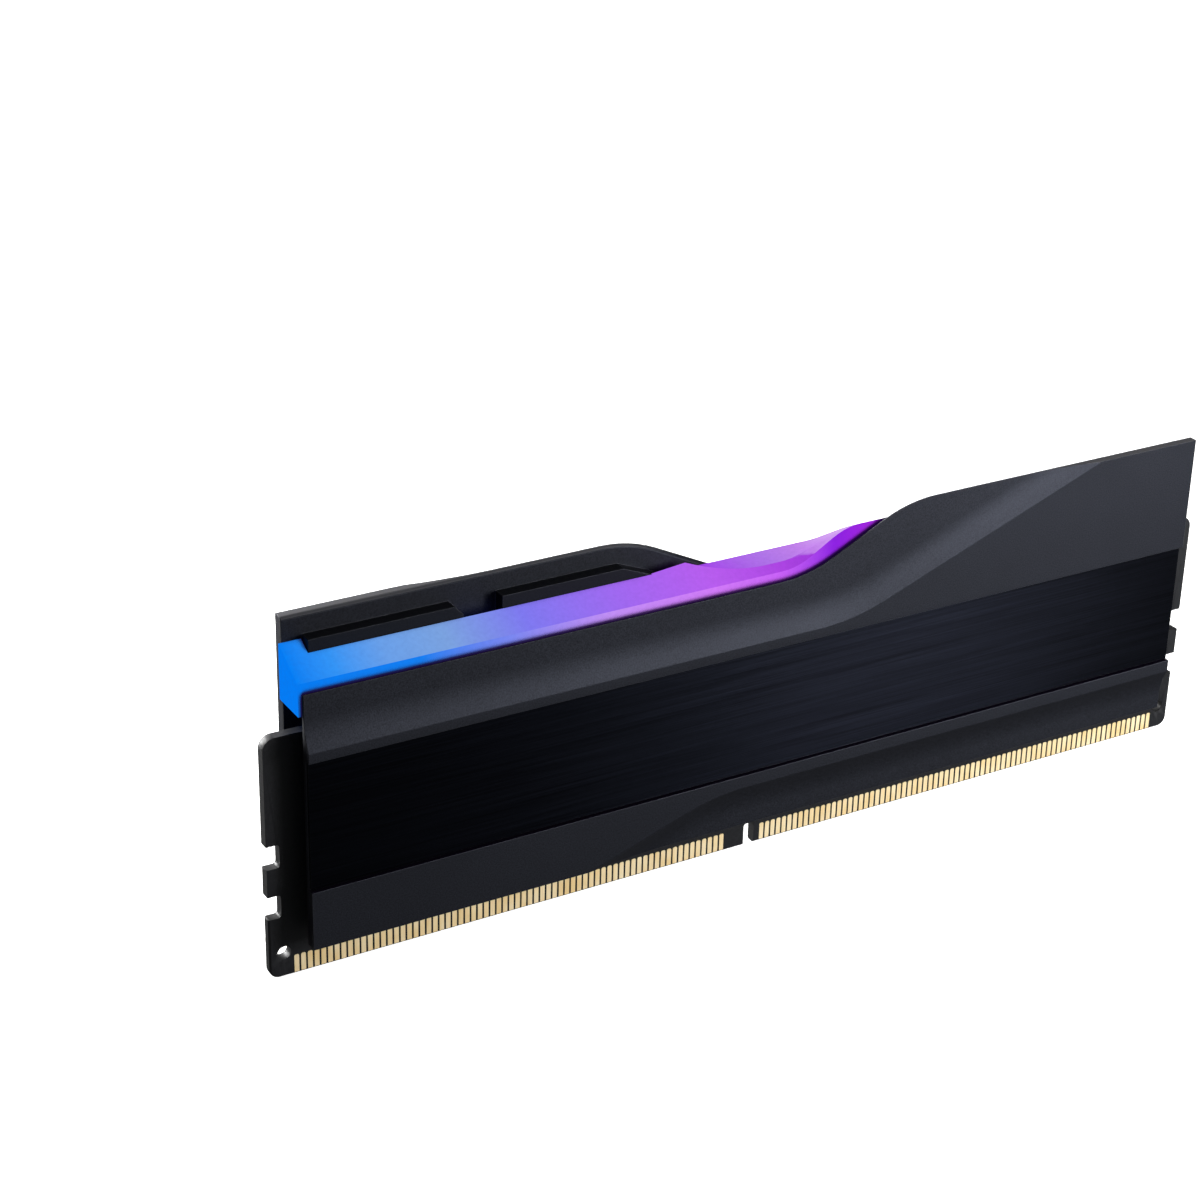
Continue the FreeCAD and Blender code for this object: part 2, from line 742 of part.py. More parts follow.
def make_heat_spreader(label, turned=False):
    """One spreader half: a plate with a band recess, two coves and two inner ribs."""
    body = new_body(label)
    outline = sketch_on(body, "XZ_Plane", label + "_outline", "InnerFace")
    draw_ramp_outline(
        outline,
        "SpreaderLength / 2",
        "SpreaderBottom",
        ("LowTop", "HighTop"),
        ("RampStart", "RampEnd"),
        "RampRadius",
    )
    plate = pad(body, outline, "OuterFace - InnerFace")
    inner = -value_of("InnerFace")
    top_edges = []
    for number, edge in enumerate(plate.Shape.Edges, start=1):
        box = edge.BoundBox
        on_inner_face = abs(box.YMin - inner) < TOUCH and abs(box.YMax - inner) < TOUCH
        if on_inner_face and box.ZMin > value_of("LowTop") - TOUCH:
            top_edges.append(f"Edge{number}")
    dress(body, "Chamfer", plate, top_edges, label + "_top_bevel", "TopBevel")
    recess = sketch_on(body, "XZ_Plane", label + "_recess", "OuterFace")
    draw_polygon(recess, rectangle(
        "-SpreaderLength / 2", "BandBottom", "SpreaderLength / 2", "BandTop",
    ))
    pocket(body, recess, "BandDepth")
    cut_cove(body, label + "_upper_cove", "UpperCrease", "UpperBend", "UpperSlope", 1)
    cut_cove(body, label + "_lower_cove", "LowerCrease", "LowerBend", "LowerSlope", -1)
    ribs = sketch_on(body, "XZ_Plane", label + "_ribs", "RibFace")
    draw_polygon(ribs, [
        ("OuterRibStart", "RibBottom"),
        ("OuterRibEnd", "RibBottom"),
        ("OuterRibEnd", "RibTop"),
        ("OuterRibStart + RibBevel", "RibTop"),
        ("OuterRibStart", "RibTop - RibBevel"),
    ])
    draw_polygon(ribs, [
        ("InnerRibTip", "RibBottom"),
        ("InnerRibEnd", "RibBottom"),
        ("InnerRibEnd", "RibTop"),
        ("InnerRibStart", "RibTop"),
    ])
    pad(body, ribs, "InnerFace - RibFace")
    if turned:
        body.Placement = Placement(Vector(0, 0, 0), Rotation(Vector(0, 0, 1), 180))


def make_brushed_strip(label, turned=False):
    """The thin brushed strip laid in a spreader half's recess."""
    body = new_body(label)
    floor = sketch_on(body, "XZ_Plane", label + "_outline", "OuterFace - BandDepth")
    draw_polygon(floor, rectangle(
        "StripGap - SpreaderLength / 2",
        "BandBottom + StripGap",
        "SpreaderLength / 2 - StripGap",
        "BandTop - StripGap",
    ))
    pad(body, floor, "StripThickness")
    if turned:
        body.Placement = Placement(Vector(0, 0, 0), Rotation(Vector(0, 0, 1), 180))


# ---------------------------------------------------------------- light bar

# The plane that the bar's two long slopes follow, level by level across the bar.
SLOPE = "(BarHigh - BarLow) / (2 * BarHalfWidth)"
CREASE_TOP = f"BarLow + {SLOPE} * CreaseInset"
CREASE_LIP = "LipTop - (LipTop - RearTop) * CreaseInset / (2 * BarHalfWidth)"


def draw_bar_section(body, name, place, levels, ramp, radius):
    """The bar's outline on one upright plane along its length."""
    section = sketch_on(body, "XZ_Plane", name, place)
    draw_ramp_outline(section, "BarLength / 2", "BarBottom", levels, ramp, radius)
    return section


def make_bar_block(body):
    """The bar before its cuts: low along the front on the left, a tall lip on the right."""
    front = draw_bar_section(
        body,
        "bar_front",
        "BarHalfWidth",
        ("BarLow", "LipTop"),
        ("LipRampStart", "LipRampEnd"),
        "LipRampRadius",
    )
    crease = draw_bar_section(
        body,
        "bar_crease",
        "BarHalfWidth - CreaseInset",
        (CREASE_TOP, CREASE_LIP),
        ("LipRampStart + CreaseRampLag", "LipRampEnd + CreaseRampLag"),
        "LipRampRadius",
    )
    rear = draw_bar_section(
        body,
        "bar_rear",
        "-BarHalfWidth",
        (CREASE_TOP, "RearTop"),
        ("RearRampStart", "RearRampEnd"),
        "RearRampRadius",
    )
    doc.recompute()
    loft = body.newObject("PartDesign::AdditiveLoft", "bar_loft")
    loft.Profile = front
    loft.Sections = [crease, rear]
    loft.Ruled = True
    doc.recompute()


def draw_wedge_plan(sketch):
    """The part of the top that climbs to the rear: it ends in an arc near the middle."""
    places = [
        ("WedgeTip", "CreaseInset - BarHalfWidth"),
        ("WedgeEnd", "WedgeReach"),
        ("-RoomStart", "RibFace - PocketPlay"),
        ("-RoomStart", "BarHalfWidth"),
        ("-BarLength / 2", "BarHalfWidth"),
        ("-BarLength / 2", "CreaseInset - BarHalfWidth"),
    ]
    points = [Vector(value_of(x), value_of(y), 0) for x, y in places]
    tip, end = points[0], points[1]
    radius = value_of("WedgeRadius")
    chord = end - tip
    sagitta = radius - math.sqrt(radius ** 2 - (chord.Length / 2) ** 2)
    outward = Vector(chord.y, -chord.x, 0).normalize()
    if outward.y > 0:
        outward = -outward
    middle = (tip + end) / 2 + outward * sagitta
    sketch.addGeometry(Part.Arc(tip, middle, end), False)
    for start, finish in zip(points[1:], points[2:] + points[:1]):
        sketch.addGeometry(Part.LineSegment(start, finish), False)
    for index in range(len(points)):
        join(sketch, (index - 1) % len(points), index, points[index])
    for index, place in enumerate(places[1:], start=1):
        pin_at(sketch, index, place)
    pin_at(sketch, len(points) - 1, places[0])
    pin_radius(sketch, 0, "WedgeRadius")


def cut_to_slope(body, name, start, turn, length=None):
    """Cut away all that stands above the long slope; turn is +1 where it climbs to the rear."""
    section = sketch_on(body, "YZ_Plane", name, start)
    drop = f"{SLOPE} * BarHalfWidth"
    draw_polygon(section, [
        (f"-{turn} * 2 * BarHalfWidth", f"BarLow - {drop}"),
        (f"{turn} * 2 * BarHalfWidth", f"BarHigh + {drop}"),
        (f"{turn} * 2 * BarHalfWidth", "LipTop + BarHalfWidth"),
        (f"-{turn} * 2 * BarHalfWidth", "LipTop + BarHalfWidth"),
    ])
    pocket(body, section, length, reverse=True)


def rib_room(turn):
    """Side view of the room left for one spreader half's ribs; turn is +1 front, -1 back."""
    rib_slope = "(RibTop - RibBottom) / (InnerRibStart - InnerRibTip)"
    floor = "RibBottom - PocketPlay"
    return [
        (f"{turn} * (InnerRibTip - PocketPlay)", floor),
        (f"{turn} * (OuterRibEnd + PocketPlay)", floor),
        (f"{turn} * (OuterRibEnd + PocketPlay)", "LipTop + PocketPlay"),
        (f"{turn} * RoomStart", "LipTop + PocketPlay"),
        (f"{turn} * RoomStart", f"RibTop - (InnerRibStart - RoomStart) * {rib_slope} + PocketPlay"),
    ]


def make_light_bar():
    """The diffuser: a wedge facing forward on the left, and the same facing back on the right.

    Between the two the top is flat, and a lip climbs beside the front half's ramp.
    """
    body = new_body("light_bar")
    make_bar_block(body)
    wedge = sketch_on(body, "XY_Plane", "wedge_plan", "RibBottom")
    draw_wedge_plan(wedge)
    pad(body, wedge, "BarHigh - RibBottom")
    cut_to_slope(body, "left_slope", "-BarLength / 2", 1, "BarLength / 2")
    cut_to_slope(body, "right_slope", "RoomStart", -1)

    channel = sketch_on(body, "XY_Plane", "light_channel", "BarBottom")
    draw_polygon(channel, rectangle(
        "-ChannelLength / 2", "-ChannelHalfWidth", "ChannelLength / 2", "ChannelHalfWidth",
    ))
    pocket(body, channel, "ChannelTop - BarBottom", reverse=True)

    feet = sketch_on(body, "XY_Plane", "bar_feet", "FootBottom")
    slots = []
    for step in range(int(value_of("FootCount"))):
        middle = f"({step} - (FootCount - 1) / 2) * FootPitch"
        left, right = f"{middle} - FootLength / 2", f"{middle} + FootLength / 2"
        draw_polygon(feet, rectangle(left, "-FootHalfWidth", right, "FootHalfWidth"))
        slots.append(rectangle(left, "-BoardThickness / 2", right, "BoardThickness / 2"))
    pad(body, feet, "ChannelTop - FootBottom")
    board_slots = sketch_on(body, "XY_Plane", "board_slots", "FootBottom")
    for slot in slots:
        draw_polygon(board_slots, slot)
    pocket(body, board_slots, "BoardHeight - FootBottom", reverse=True)

    for name, turn in (("front_rib_room", 1), ("back_rib_room", -1)):
        room = sketch_on(body, "XZ_Plane", name, f"{turn} * (RibFace - PocketPlay)")
        draw_polygon(room, rib_room(turn))
        pocket(body, room, "BarHalfWidth", reverse=turn > 0)


# ---------------------------------------------------------------- the module

def check_everything():
    doc.recompute()
    for item in doc.Objects:
        if "Invalid" in item.State or "Error" in item.State:
            raise RuntimeError(f"{item.Name} failed: {item.State}")
    for part in sub_parts:
        if part.Shape.isNull() or not part.Shape.isValid() or not part.Shape.Solids:
            raise RuntimeError(f"{part.Label} has no valid solid")


def write_everything():
    os.makedirs("parts", exist_ok=True)
    for part in sub_parts:
        part.Shape.exportStep(f"parts/{part.Label}.step")
        solids = len(part.Shape.Solids)
        print(f"{part.Label}: {solids} solid(s), {part.Shape.Volume:.2f} mm3")


make_circuit_board()
for board_side, side_name in ((-1, "front"), (1, "back")):
    make_contacts(f"contacts_{side_name}_left", "LeftContactStart", "LeftContactCount", board_side)
    make_contacts(f"contacts_{side_name}_right", "RightContactStart", "RightContactCount", board_side)
make_memory_chips()
make_power_and_hub_parts()
make_small_parts()
make_lights()
make_thermal_pads()
make_heat_spreader("heat_spreader_front")
make_heat_spreader("heat_spreader_back", turned=True)
make_brushed_strip("brushed_strip_front")
make_brushed_strip("brushed_strip_back", turned=True)
make_light_bar()
check_everything()
write_everything()
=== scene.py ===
import math

import bpy
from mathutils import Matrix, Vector


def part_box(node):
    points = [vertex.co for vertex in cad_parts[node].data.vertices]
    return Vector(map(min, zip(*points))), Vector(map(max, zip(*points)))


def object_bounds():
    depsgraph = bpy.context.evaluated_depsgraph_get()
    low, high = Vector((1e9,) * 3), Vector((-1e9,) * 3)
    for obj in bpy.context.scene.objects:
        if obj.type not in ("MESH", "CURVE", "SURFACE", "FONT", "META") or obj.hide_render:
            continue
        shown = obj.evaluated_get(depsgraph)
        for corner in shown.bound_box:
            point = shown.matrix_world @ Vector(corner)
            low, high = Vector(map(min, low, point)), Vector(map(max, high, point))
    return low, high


# Looks for a desktop memory module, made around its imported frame. Lengths are in metres, except
# where a comment or a docstring says millimetres.

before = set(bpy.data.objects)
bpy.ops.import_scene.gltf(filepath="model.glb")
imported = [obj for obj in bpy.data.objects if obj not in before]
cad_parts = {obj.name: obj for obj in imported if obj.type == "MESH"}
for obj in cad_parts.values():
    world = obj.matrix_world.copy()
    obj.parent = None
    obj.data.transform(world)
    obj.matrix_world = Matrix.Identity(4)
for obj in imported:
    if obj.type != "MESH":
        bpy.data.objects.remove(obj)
CAD_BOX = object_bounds()

MM = 0.001

BLACK = (0.0, 0.0, 0.0, 1.0)
WHITE = (1.0, 1.0, 1.0, 1.0)


# ---------------------------------------------------------------- node helpers

# Ranges that most of a noise's values fall in. The narrower the range, the stronger the contrast.
NARROW_SPAN = (0.35, 0.65)
NOISE_SPAN = (0.30, 0.70)
WIDE_SPAN = (0.25, 0.75)

# How alike a point's rounded normal and its own one are, on a flat face and on a worn edge.
EDGE_LIKENESS = (0.995, 0.85)
EDGE_SAMPLES = 4
LEAST_WEAR = 0.45

# How far a grey's green follows its raised blue.
GREEN_SHARE = 0.2


def new_material(name):
    """A material, its node tree and its principled shader."""
    material = bpy.data.materials.new(name)
    material.use_nodes = True
    tree = material.node_tree
    return material, tree, tree.nodes["Principled BSDF"]


def feed(tree, socket, value):
    """Links a socket to another one, or gives it a plain value."""
    if isinstance(value, bpy.types.NodeSocket):
        tree.links.new(value, socket)
    else:
        socket.default_value = value


def add(tree, kind, inputs=None, **settings):
    """A node of that kind, with its settings and with its input sockets fed."""
    node = tree.nodes.new(kind)
    for name, value in settings.items():
        setattr(node, name, value)
    for name, value in (inputs or {}).items():
        feed(tree, node.inputs[name], value)
    return node


def link_surface(tree, shader, color, roughness, normal):
    """Links a material's colour, roughness and normal into its shader."""
    tree.links.new(color, shader.inputs["Base Color"])
    tree.links.new(roughness, shader.inputs["Roughness"])
    tree.links.new(normal, shader.inputs["Normal"])


def object_place(tree):
    """The place on the object, in metres."""
    return add(tree, "ShaderNodeTexCoord").outputs["Object"]


def one_axis(tree, vector, axis):
    """A vector's X, Y or Z."""
    return add(tree, "ShaderNodeSeparateXYZ", {"Vector": vector}).outputs[axis]


def surface_normal(tree, kind="True Normal"):
    """The normal of the flat face, or of the smoothed surface where the kind is "Normal"."""
    return add(tree, "ShaderNodeNewGeometry").outputs[kind]


def cube(side):
    """A cell with equal sides."""
    return (side, side, side)


def noise(tree, cell, detail=3.0):
    """Soft noise from 0 to 1 whose grains are as large as that cell, in millimetres."""
    scale = [1.0 / (side * MM) for side in cell]
    mapping = add(tree, "ShaderNodeMapping", {"Vector": object_place(tree), "Scale": scale})
    inputs = {"Vector": mapping.outputs["Vector"], "Scale": 1.0, "Detail": detail}
    return add(tree, "ShaderNodeTexNoise", inputs).outputs["Fac"]


def remap(tree, value, low, high, to_low=0.0, to_high=1.0, smooth=False):
    """value from low..high brought to to_low..to_high, and held there beyond them."""
    kind = "SMOOTHSTEP" if smooth else "LINEAR"
    inputs = {"Value": value, "From Min": low, "From Max": high, "To Min": to_low, "To Max": to_high}
    return add(tree, "ShaderNodeMapRange", inputs, interpolation_type=kind).outputs["Result"]


def blend_colors(tree, factor, first, second):
    """first where the factor is 0 and second where it is 1."""
    node = tree.nodes.new("ShaderNodeMix")
    node.data_type = "RGBA"
    # The node's kinds share their sockets' names, so its colour sockets are found by number.
    factor_in, first_in, second_in = node.inputs[0], node.inputs[6], node.inputs[7]
    feed(tree, factor_in, factor)
    feed(tree, first_in, first)
    feed(tree, second_in, second)
    return node.outputs[2]


def multiply(tree, first, second):
    """The product of two values."""
    return add(tree, "ShaderNodeMath", {0: first, 1: second}, operation="MULTIPLY").outputs[0]


def absolute(tree, value):
    """A value without its sign."""
    return add(tree, "ShaderNodeMath", {0: value}, operation="ABSOLUTE").outputs[0]


def bump(tree, height, depth):
    """A surface normal disturbed by a height from 0 to 1, that many millimetres deep."""
    inputs = {"Height": height, "Distance": depth * MM, "Strength": 1.0}
    return add(tree, "ShaderNodeBump", inputs).outputs["Normal"]


def edge_wear(tree, reach, patch):
    """1 on the edges that handling rubs and 0 on the faces, in patches. Both sizes in millimetres."""
    rounding = add(tree, "ShaderNodeBevel", {"Radius": reach * MM}, samples=EDGE_SAMPLES)
    normals = {0: rounding.outputs["Normal"], 1: surface_normal(tree, "Normal")}
    likeness = add(tree, "ShaderNodeVectorMath", normals, operation="DOT_PRODUCT").outputs["Value"]
    edge = remap(tree, likeness, *EDGE_LIKENESS)
    broken = remap(tree, noise(tree, cube(patch)), *NARROW_SPAN, LEAST_WEAR, 1.0)
    return multiply(tree, edge, broken)


def grey(level, blue=1.0):
    """A grey of that brightness whose blue is that many times as strong as its red."""
    return (level, level * (1.0 + GREEN_SHARE * (blue - 1.0)), level * blue, 1.0)


def from_screen(code):
    """The scene-linear colour for a #rrggbb screen colour, by the sRGB curve."""
    parts = [int(code[i:i + 2], 16) / 255.0 for i in (1, 3, 5)]
    linear = [p / 12.92 if p <= 0.04045 else ((p + 0.055) / 1.055) ** 2.4 for p in parts]
    return (*linear, 1.0)


# ---------------------------------------------------------------- heat spreader

# Distances from the middle of the board, in millimetres: where the painted shade on a spreader's inner
# walls gives way to its outside colour, and where its ribs end and its plate begins.
INNER_WALL = (2.10, 2.80)
PLATE_WALL = (2.40, 2.55)
INNER_SHADE_SHARE = 0.75

# Painted light on a spreader's upward top faces: a painted shade, with a purple painted reflection, on
# the lip beside the light bar, and a painted highlight on its tall top edge. One gives way to the other
# between two heights in millimetres, on faces that look this far up.
LIP_PAINTED_SHADE = (0.004, 0.0015, 0.009, 1.0)
RIDGE_PAINTED_HIGHLIGHT = (0.13, 0.13, 0.14, 1.0)
LIP_TO_RIDGE = (40.5, 42.0)
EDGE_UPWARD = (0.60, 0.85)


def off_middle(tree, near, far, at_near, at_far):
    """A value that goes from at_near to at_far between two distances, in millimetres, from the
    middle of the board."""
    depth = absolute(tree, one_axis(tree, object_place(tree), "Y"))
    return remap(tree, depth, near * MM, far * MM, at_near, at_far)


def top_edge(tree):
    """How far a plate's face looks up, and whether it is low beside the light bar (0) or tall (1)."""
    low, high = (level * MM for level in LIP_TO_RIDGE)
    tall = remap(tree, one_axis(tree, object_place(tree), "Z"), low, high)
    looking_up = remap(tree, one_axis(tree, surface_normal(tree), "Z"), *EDGE_UPWARD)
    upward = multiply(tree, looking_up, off_middle(tree, *PLATE_WALL, 0.0, 1.0))
    return upward, tall


def spreader_metal():
    """Bead-blasted aluminium, anodised dark grey: a fine even grain and rubbed edges, with painted shade
    on the inner walls and on the lip's top, and a painted highlight on the tall top edge.
    """
    material, tree, shader = new_material("spreader_metal")
    dark = grey(0.009, blue=1.5)
    light = grey(0.027, blue=1.45)
    cloudy = grey(0.010, blue=1.45)
    # Painted shade for the inner walls that face the board.
    inner_painted_shade = grey(0.005, blue=1.5)
    rubbed = grey(0.07, blue=1.2)
    grain = noise(tree, cube(0.16), detail=5.0)
    cloud = noise(tree, cube(9.0))
    speckled = blend_colors(tree, remap(tree, grain, *NOISE_SPAN), dark, light)
    clouded = blend_colors(tree, remap(tree, cloud, *NOISE_SPAN, to_high=0.18), speckled, cloudy)
    # Painted shade: the inner walls are darkened towards the middle of the board.
    inside = off_middle(tree, *INNER_WALL, INNER_SHADE_SHARE, 0.0)
    inner_shaded = blend_colors(tree, inside, clouded, inner_painted_shade)
    worn = blend_colors(tree, edge_wear(tree, reach=0.14, patch=2.0), inner_shaded, rubbed)
    upward, tall = top_edge(tree)
    # Painted light: painted shade on the lip's top and a painted highlight on the tall top edge.
    color = blend_colors(tree, upward, worn, blend_colors(tree, tall, LIP_PAINTED_SHADE, RIDGE_PAINTED_HIGHLIGHT))
    roughness = remap(tree, grain, *WIDE_SPAN, to_low=0.52, to_high=0.64)
    link_surface(tree, shader, color, roughness, bump(tree, grain, depth=0.011))
    shader.inputs["Metallic"].default_value = 0.85
    shader.inputs["Specular IOR Level"].default_value = 0.35
    return material


def brushed_metal():
    """Aluminium brushed along its length and anodised black: long fine streaks."""
    material, tree, shader = new_material("brushed_metal")
    dark = grey(0.0016, blue=1.9)
    light = grey(0.0052, blue=1.9)
    shade = grey(0.0013, blue=1.9)
    rubbed = grey(0.03, blue=1.2)
    fine = noise(tree, cell=(14.0, 1.0, 0.07), detail=4.0)
    broad = noise(tree, cell=(40.0, 1.0, 0.6), detail=2.0)
    streaked = blend_colors(tree, remap(tree, fine, *NOISE_SPAN), dark, light)
    shaded = blend_colors(tree, remap(tree, broad, *NARROW_SPAN, to_high=0.18), streaked, shade)
    color = blend_colors(tree, edge_wear(tree, reach=0.08, patch=2.0), shaded, rubbed)
    roughness = remap(tree, fine, *WIDE_SPAN, to_low=0.32, to_high=0.40)
    link_surface(tree, shader, color, roughness, bump(tree, fine, depth=0.003))
    shader.inputs["Metallic"].default_value = 0.95
    shader.inputs["Specular IOR Level"].default_value = 0.1
    shader.inputs["Anisotropic"].default_value = 0.9
    upright = add(tree, "ShaderNodeTangent", direction_type="RADIAL", axis="X").outputs["Tangent"]
    tree.links.new(upright, shader.inputs["Tangent"])
    return material


# ---------------------------------------------------------------- light bar

# Colours that leave the light bar, from its left end at 0 to its right end at 1: from its upright faces,
# from its slope and from its flat top. The bar's own glow runs along it; the paler slope and flat-top
# colours also hold painted light from above.
FRONT_COLORS = [
    (0.00, "#037ef7"), (0.12, "#1481f6"), (0.21, "#7d8af4"), (0.31, "#c391f8"), (0.43, "#d47bfb"),
    (0.50, "#cb62fa"), (0.56, "#8f22e4"), (0.70, "#c832d2"), (1.00, "#ff3c8c"),
]
SLOPE_COLORS = [
    (0.00, "#0683fa"), (0.04, "#3598fb"), (0.09, "#6da4ee"), (0.15, "#7ea6e4"), (0.23, "#827cf5"),
    (0.33, "#a46bf5"), (0.43, "#bc5ff3"), (0.50, "#b147e7"), (0.56, "#9c34dc"), (0.70, "#cc46d6"),
    (1.00, "#ff5a96"),
]
FLAT_COLORS = [
    (0.00, "#1e95fd"), (0.43, "#a644ed"), (0.50, "#b478ec"), (0.54, "#c786f0"), (0.59, "#dcb2f6"),
    (0.66, "#c878e8"), (0.75, "#cc46d6"), (1.00, "#ff5a96"),
]

# How far a face's normal goes up between an upright face and the top, and how far it goes back
# between the slope and the flat top.
TOP_SPAN = (0.40, 0.75)
FLAT_SPAN = (-0.38, -0.15)

# Frosting scatters a little of a deep blue into the colour, in soft grains.
FROST_COLOR = (0.02, 0.02, 0.20, 1.0)
FROST_SHARE = 0.10

# The bar's own colour under room light is faint beside the light that comes from inside it.
BODY_SHARE = 0.05
GLOW_STRENGTH = 0.94

# A painted shade darkens the bar's light at its foot, where the metal lip is nearer than this reach in
# millimetres. The light goes from none to full between two shares of open sky round a point.
SEAM_REACH = 0.9
SEAM_SKY = (0.60, 0.90)
SEAM_SAMPLES = 8
SEAM_PAINTED_SHADE = (0.010, 0.002, 0.035, 1.0)


def color_ramp(tree, factor, stops):
    """A colour that runs through the stops, each a place from 0 to 1 and a screen colour."""
    node = add(tree, "ShaderNodeValToRGB", {"Fac": factor})
    elements = node.color_ramp.elements
    while len(elements) < len(stops):
        elements.new(1.0)
    for element, (place, code) in zip(elements, stops):
        element.position = place
        element.color = from_screen(code)
    return node.outputs["Color"]


def bar_light(tree):
    """The colour that leaves the light bar, by the place along it and by the way a face looks: the bar's
    own glow, with painted light from above on its slope and flat top.
    """
    low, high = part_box("light_bar")
    share = remap(tree, one_axis(tree, object_place(tree), "X"), low.x, high.x)
    normal = surface_normal(tree, "Normal")
    upward = remap(tree, one_axis(tree, normal, "Z"), *TOP_SPAN, smooth=True)
    level = remap(tree, one_axis(tree, normal, "Y"), *FLAT_SPAN, smooth=True)
    slope = color_ramp(tree, share, SLOPE_COLORS)
    flat = color_ramp(tree, share, FLAT_COLORS)
    front = color_ramp(tree, share, FRONT_COLORS)
    # The upward faces take the paler colours: the bar's glow with painted light from above.
    return blend_colors(tree, upward, front, blend_colors(tree, level, slope, flat))


def diffuser():
    """Frosted polycarbonate lit from inside, its colour running along the bar and differing by facet,
    with painted light from above on its upward facets and a painted shade at its foot.
    """
    material, tree, shader = new_material("diffuser")
    leaving = bar_light(tree)
    frost = remap(tree, noise(tree, cube(0.5), detail=4.0), *NOISE_SPAN, to_high=FROST_SHARE)
    frosted = blend_colors(tree, frost, leaving, FROST_COLOR)
    # Painted shade: ambient occlusion darkens the glow where the metal lip crowds the bar's foot.
    reach = {"Distance": SEAM_REACH * MM}
    sky = add(tree, "ShaderNodeAmbientOcclusion", reach, samples=SEAM_SAMPLES).outputs["AO"]
    glowing = blend_colors(tree, remap(tree, sky, *SEAM_SKY), SEAM_PAINTED_SHADE, frosted)
    tree.links.new(glowing, shader.inputs["Emission Color"])
    shader.inputs["Emission Strength"].default_value = GLOW_STRENGTH
    body = blend_colors(tree, BODY_SHARE, BLACK, leaving)
    grain = noise(tree, cube(0.12))
    roughness = remap(tree, grain, *NOISE_SPAN, to_low=0.42, to_high=0.58)
    link_surface(tree, shader, body, roughness, bump(tree, grain, depth=0.004))
    # No sheen: seen from low behind, a lamp's reflection would burn a piece of the bar to white.
    shader.inputs["Specular IOR Level"].default_value = 0.0
    return material


# ---------------------------------------------------------------- board and contacts

# The weave is the product of two noises, so its values lie lower than one noise's.
WEAVE_SPAN = (0.12, 0.40)

# How squarely a face looks forward or back, between the board's edges and its faces.
FACE_SPAN = (0.50, 0.80)

# Insertion marks show only where their noise is high, and only in part.
SCRATCH_SPAN = (0.50, 0.75)
SCRATCH_SHARE = 0.35


def board_mask():
    """Matte black solder mask with the glass weave faintly under it, and bare laminate on the edges."""
    material, tree, shader = new_material("board_mask")
    mask_dark = grey(0.003, blue=1.5)
    mask_light = grey(0.008, blue=1.4)
    laminate_dark = grey(0.006, blue=1.1)
    laminate_light = grey(0.022, blue=1.05)
    warp = noise(tree, cell=(0.5, 3.0, 0.14), detail=2.0)
    weft = noise(tree, cell=(0.14, 3.0, 0.5), detail=2.0)
    weave = multiply(tree, warp, weft)
    mask = blend_colors(tree, remap(tree, weave, *WEAVE_SPAN), mask_dark, mask_light)
    plies = noise(tree, cell=(1.2, 0.06, 1.2), detail=4.0)
    laminate = blend_colors(tree, remap(tree, plies, *NOISE_SPAN), laminate_dark, laminate_light)
    flatness = absolute(tree, one_axis(tree, surface_normal(tree), "Y"))
    color = blend_colors(tree, remap(tree, flatness, *FACE_SPAN), laminate, mask)
    roughness = remap(tree, weave, *WEAVE_SPAN, to_low=0.42, to_high=0.56)
    link_surface(tree, shader, color, roughness, bump(tree, weave, depth=0.010))
    shader.inputs["Specular IOR Level"].default_value = 0.3
    return material


def contact_gold():
    """Hard gold plating: satin, with faint insertion marks down each contact."""
    material, tree, shader = new_material("contact_gold")
    fresh = (0.92, 0.68, 0.32, 1.0)
    rubbed = (1.0, 0.84, 0.54, 1.0)
    scratched = (0.60, 0.40, 0.17, 1.0)
    wipe = noise(tree, cell=(0.05, 1.0, 1.6))
    tone = noise(tree, cell=(1.7, 1.0, 3.0), detail=2.0)
    plated = blend_colors(tree, remap(tree, tone, *NOISE_SPAN), fresh, rubbed)
    scratches = remap(tree, wipe, *SCRATCH_SPAN, to_high=SCRATCH_SHARE)
    color = blend_colors(tree, scratches, plated, scratched)
    roughness = remap(tree, wipe, *NOISE_SPAN, to_low=0.34, to_high=0.50)
    link_surface(tree, shader, color, roughness, bump(tree, wipe, depth=0.002))
    shader.inputs["Metallic"].default_value = 0.35
    return material


# ---------------------------------------------------------------- small components

# A small component's rubbed edges, in millimetres, and how much lighter than its faces they are.
SMALL_REACH = 0.05
SMALL_PATCH = 0.8
SMALL_GAIN = 1.6


def small_part(name, dark, light, roughness, cell, depth):
    """A small component: two close tones, a grain of that cell and depth in millimetres, and a
    roughness from the first to the second value."""
    material, tree, shader = new_material(name)
    rubbed = [min(1.0, SMALL_GAIN * part) for part in light]
    grain = noise(tree, cube(cell), detail=4.0)
    toned = blend_colors(tree, remap(tree, grain, *NOISE_SPAN), dark, light)
    color = blend_colors(tree, edge_wear(tree, SMALL_REACH, SMALL_PATCH), toned, rubbed)
    spread = remap(tree, grain, *NOISE_SPAN, *roughness)
    link_surface(tree, shader, color, spread, bump(tree, grain, depth))
    return material


def chip_epoxy():
    """Black moulded epoxy."""
    dark = grey(0.014)
    light = grey(0.028)
    return small_part("chip_epoxy", dark, light, roughness=(0.55, 0.72), cell=0.08, depth=0.005)


def inductor_ferrite():
    """Pressed grey ferrite powder."""
    dark = grey(0.07)
    light = grey(0.15)
    return small_part("inductor_ferrite", dark, light, roughness=(0.60, 0.80), cell=0.12, depth=0.010)


def capacitor_ceramic():
    """Fired tan ceramic."""
    dark = (0.36, 0.23, 0.13, 1.0)
    light = (0.55, 0.39, 0.24, 1.0)
    return small_part("capacitor_ceramic", dark, light, roughness=(0.40, 0.55), cell=0.10, depth=0.003)


